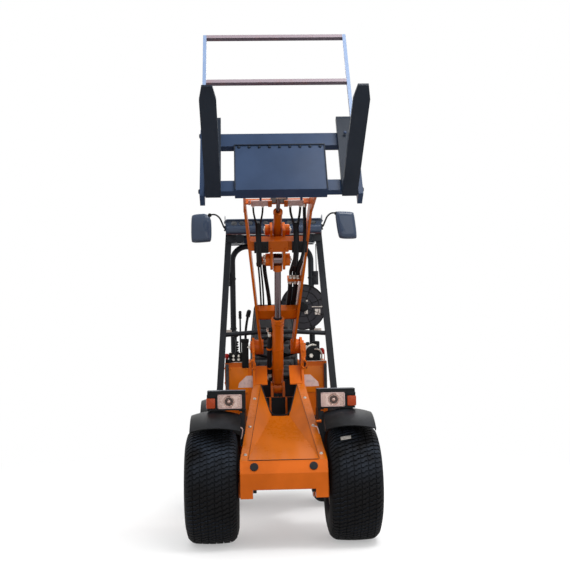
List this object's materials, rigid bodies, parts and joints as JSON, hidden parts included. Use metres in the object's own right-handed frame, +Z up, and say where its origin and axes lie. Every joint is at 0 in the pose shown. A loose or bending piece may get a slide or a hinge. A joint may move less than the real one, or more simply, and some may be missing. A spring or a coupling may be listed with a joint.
{
  "type": "compact articulated wheel loader",
  "caption": "Compact articulated wheel loader with a raised boom, pallet forks on a carriage with load backrest, open canopy, round lift cylinder and wide turf tyres.",
  "frame": {"origin": "middle of the base of the bounding box, on the floor under the wheels", "axes": "+X to the machine's left, +Y to its rear (forks point to -Y), +Z up"},
  "size_m": [1.12, 3.3714, 2.9757],
  "materials": {
    "orange_paint": "gloss orange paint",
    "black_paint": "satin black paint",
    "slate_paint": "gloss slate blue paint",
    "tyre_rubber": "turf tyre rubber",
    "rubber": "matt rubber",
    "black_plastic": "textured black plastic",
    "rim_paint": "satin light paint",
    "rod_chrome": "hard chrome",
    "zinc_steel": "zinc plated",
    "lamp_lens": "clear ribbed lens",
    "amber_lens": "amber lens",
    "red_lens": "red lens",
    "seat_vinyl": "black vinyl",
    "cast_block": "engine casting"
  },
  "bodies": {
    "rear_frame": {"rear_frame": "orange_paint", "rear_axle": "orange_paint", "floor_plate": "black_paint", "rear_fenders": "black_plastic", "counterweight": "black_paint", "tail_lamps": "red_lens", "engine_block": "cast_block", "side_consoles": "orange_paint", "seat_base": "black_paint", "seat_cushion": "seat_vinyl", "seat_back": "seat_vinyl", "steering_column": "black_plastic", "control_levers": "black_paint", "front_posts": "black_paint", "grab_crossbar": "black_paint", "rear_hoop": "black_paint", "roof_canopy": "black_paint", "round_cover": "black_plastic", "mirrors": "black_plastic"},
    "front_frame": {"front_frame": "orange_paint", "front_hood_cover": "orange_paint", "front_nose_box": "orange_paint", "front_nose_caps": "rubber", "tower_wings": "orange_paint", "front_axle": "orange_paint", "front_fenders": "black_plastic", "lamp_boxes": "black_plastic", "headlamps": "lamp_lens", "indicators": "amber_lens"},
    "boom": {"boom": "orange_paint", "boom_bracket": "orange_paint", "left_hoses": "rubber", "right_hoses": "rubber"},
    "tool": {"quick_coupler": "slate_paint", "coupler_lock": "zinc_steel", "fork_carriage": "slate_paint", "left_fork": "slate_paint", "right_fork": "slate_paint", "load_backrest": "slate_paint"},
    "lift_barrel": {"lift_barrel": "orange_paint", "lift_hose": "rubber"},
    "lift_rod": {"lift_rod": "rod_chrome"},
    "tilt_barrel": {"tilt_barrel": "orange_paint"},
    "tilt_rod": {"tilt_rod": "rod_chrome"},
    "engine_hood": {"engine_hood": "orange_paint", "hood_grille": "black_paint"},
    "front_left_wheel": {"front_left_tyre": "tyre_rubber", "front_left_rim": "rim_paint"},
    "front_right_wheel": {"front_right_tyre": "tyre_rubber", "front_right_rim": "rim_paint"},
    "rear_left_wheel": {"rear_left_tyre": "tyre_rubber", "rear_left_rim": "rim_paint"},
    "rear_right_wheel": {"rear_right_tyre": "tyre_rubber", "rear_right_rim": "rim_paint"}
  },
  "joints": [
    {"name": "articulation", "type": "hinge", "parent": "rear_frame", "child": "front_frame", "pos_m": [0, 0.32921, 0.46], "axis": [0, 0, 1], "range_deg": [-40, 40]},
    {"name": "boom_lift", "type": "hinge", "parent": "front_frame", "child": "boom", "pos_m": [0, 0.26921, 1.122], "axis": [-1, 0, 0], "range_deg": [-79, 4]},
    {"name": "tool_tilt", "type": "hinge", "parent": "boom", "child": "tool", "pos_m": [0, -0.8066, 1.99761], "axis": [-1, 0, 0], "range_deg": [-45, 55]},
    {"name": "lift_barrel_swing", "type": "hinge", "parent": "front_frame", "child": "lift_barrel", "pos_m": [0, 0.25921, 0.86], "axis": [-1, 0, 0], "range_deg": [-66.85, 3.39]},
    {"name": "lift_rod_slide", "type": "slide", "parent": "lift_barrel", "child": "lift_rod", "axis": [0, -0.4876, 0.8731], "range_m": [-0.29197, 0.01526]},
    {"name": "tilt_barrel_swing", "type": "hinge", "parent": "boom", "child": "tilt_barrel", "pos_m": [0, -0.13097, 1.75603], "axis": [-1, 0, 0], "range_deg": [-2.18, 1.79]},
    {"name": "tilt_rod_slide", "type": "slide", "parent": "tilt_barrel", "child": "tilt_rod", "axis": [0, -0.8502, 0.5265], "range_m": [-0.12135, 0.09938]},
    {"name": "hood_open", "type": "hinge", "parent": "rear_frame", "child": "engine_hood", "pos_m": [0, 1.54121, 0.648], "axis": [-1, 0, 0], "range_deg": [0, 55]},
    {"name": "front_left_spin", "type": "hinge", "parent": "front_frame", "child": "front_left_wheel", "pos_m": [0.4075, -0.32079, 0.33], "axis": [1, 0, 0], "continuous": true},
    {"name": "front_right_spin", "type": "hinge", "parent": "front_frame", "child": "front_right_wheel", "pos_m": [-0.4075, -0.32079, 0.33], "axis": [1, 0, 0], "continuous": true},
    {"name": "rear_left_spin", "type": "hinge", "parent": "rear_frame", "child": "rear_left_wheel", "pos_m": [0.4075, 0.97921, 0.33], "axis": [1, 0, 0], "continuous": true},
    {"name": "rear_right_spin", "type": "hinge", "parent": "rear_frame", "child": "rear_right_wheel", "pos_m": [-0.4075, 0.97921, 0.33], "axis": [1, 0, 0], "continuous": true}
  ],
  "couplings": [
    {"joint": "lift_barrel_swing", "follows": "boom_lift", "ratio": 0.8378},
    {"joint": "lift_rod_slide", "follows": "boom_lift", "m_per_rad": 0.2093},
    {"joint": "tilt_barrel_swing", "follows": "tool_tilt", "ratio": -0.0393},
    {"joint": "tilt_rod_slide", "follows": "tool_tilt", "m_per_rad": -0.12465}
  ]
}
